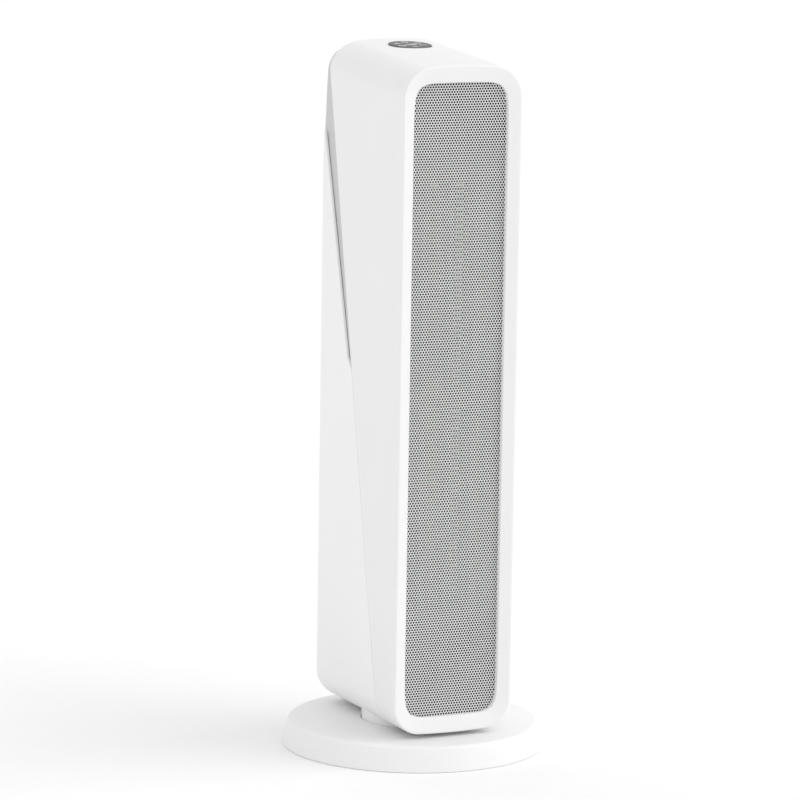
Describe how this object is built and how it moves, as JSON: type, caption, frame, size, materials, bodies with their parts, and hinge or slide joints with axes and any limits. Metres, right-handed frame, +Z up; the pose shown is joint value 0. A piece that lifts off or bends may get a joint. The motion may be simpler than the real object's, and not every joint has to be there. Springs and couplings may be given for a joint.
{
  "type": "ceramic space heater",
  "caption": "Slim upright ceramic heater: a swivelling rectangular tower with a full-height perforated outlet, two-part side shells and a top touch disc, on a round foot.",
  "frame": {"origin": "centre of the round foot on the floor, on the swivel axis", "axes": "+Z up, the air outlet faces -Y, +X to the right when facing the rear of the heater's outlet side"},
  "size_m": [0.2312, 0.2312, 0.6134],
  "materials": {
    "white_plastic": "satin",
    "grey_plastic": "fine grain",
    "black_plastic": "fine grain",
    "cream_plastic": "smooth moulding",
    "heat_plastic": "glass-filled, matt",
    "dark_fins": "heat-resistant coat, matt",
    "rubber": "matt",
    "rubber_grey": "matt",
    "lead_sheath": "smooth",
    "steel": "zinc plated",
    "cast_iron": "as cast",
    "brass": "plain",
    "painted_grille": "satin powder coat",
    "filter_mesh": "woven",
    "dark_glass": "gloss",
    "circuit_board": "solder mask"
  },
  "bodies": {
    "base": {"base_cover": "white_plastic", "base_plate": "black_plastic", "rubber_feet": "rubber", "base_screws": "steel", "ballast_ring": "cast_iron", "pivot_post": "cream_plastic", "fixed_swing_gear": "cream_plastic", "glide_ring": "cream_plastic", "base_lead": "lead_sheath", "cord_inlet": "rubber_grey", "tip_switch": "black_plastic", "tip_spring": "steel"},
    "tower": {"swivel_neck": "white_plastic", "neck_screws": "steel", "swing_motor": "steel", "swing_bracket": "grey_plastic", "inner_housing": "grey_plastic", "front_shell": "white_plastic", "front_bezel": "white_plastic", "front_grille": "painted_grille", "rear_cover": "white_plastic", "cover_screws": "steel", "heater_frame": "heat_plastic", "heater_core_lower": "dark_fins", "heater_core_upper": "dark_fins", "thermal_cutout": "brass", "thermostat": "black_plastic", "scroll_housing": "grey_plastic", "blower_motor": "steel", "motor_bracket": "steel", "upper_bearing": "brass", "bearing_bracket": "steel", "rocker_frame": "black_plastic", "control_disc": "dark_glass", "control_board": "circuit_board", "power_board": "circuit_board", "tower_lead": "lead_sheath"},
    "blower": {"blower_wheel": "black_plastic", "blower_shaft": "steel"},
    "pinion": {"swing_pinion": "cream_plastic"},
    "intake": {"intake_panel": "white_plastic", "dust_filter": "filter_mesh"},
    "rocker": {"mains_rocker": "black_plastic"},
    "plunger": {"tip_plunger": "cream_plastic"}
  },
  "joints": [
    {"name": "tower_swivel", "type": "hinge", "parent": "base", "child": "tower", "pos_m": [0, 0, 0.014], "axis": [0, 0, 1], "range_deg": [-35, 35]},
    {"name": "pinion_spin", "type": "hinge", "parent": "tower", "child": "pinion", "pos_m": [0, -0.0241, 0.0185], "axis": [0, 0, 1], "range_deg": [-106, 106]},
    {"name": "blower_spin", "type": "hinge", "parent": "tower", "child": "blower", "pos_m": [0, 0.02, 0.128], "axis": [0, 0, 1], "continuous": true},
    {"name": "intake_pull", "type": "slide", "parent": "tower", "child": "intake", "axis": [0, 1, 0], "range_m": [0, 0.02]},
    {"name": "rocker_tip", "type": "hinge", "parent": "tower", "child": "rocker", "pos_m": [0, 0.0895, 0.074], "axis": [1, 0, 0], "range_deg": [0, 16]},
    {"name": "plunger_travel", "type": "slide", "parent": "base", "child": "plunger", "axis": [0, 0, -1], "range_m": [0, 0.003], "stiffness_N_per_m": 100, "springref_m": 0.003, "deforming": ["tip_spring"]}
  ],
  "couplings": [
    {"joint": "pinion_spin", "follows": "tower_swivel", "ratio": 3}
  ]
}
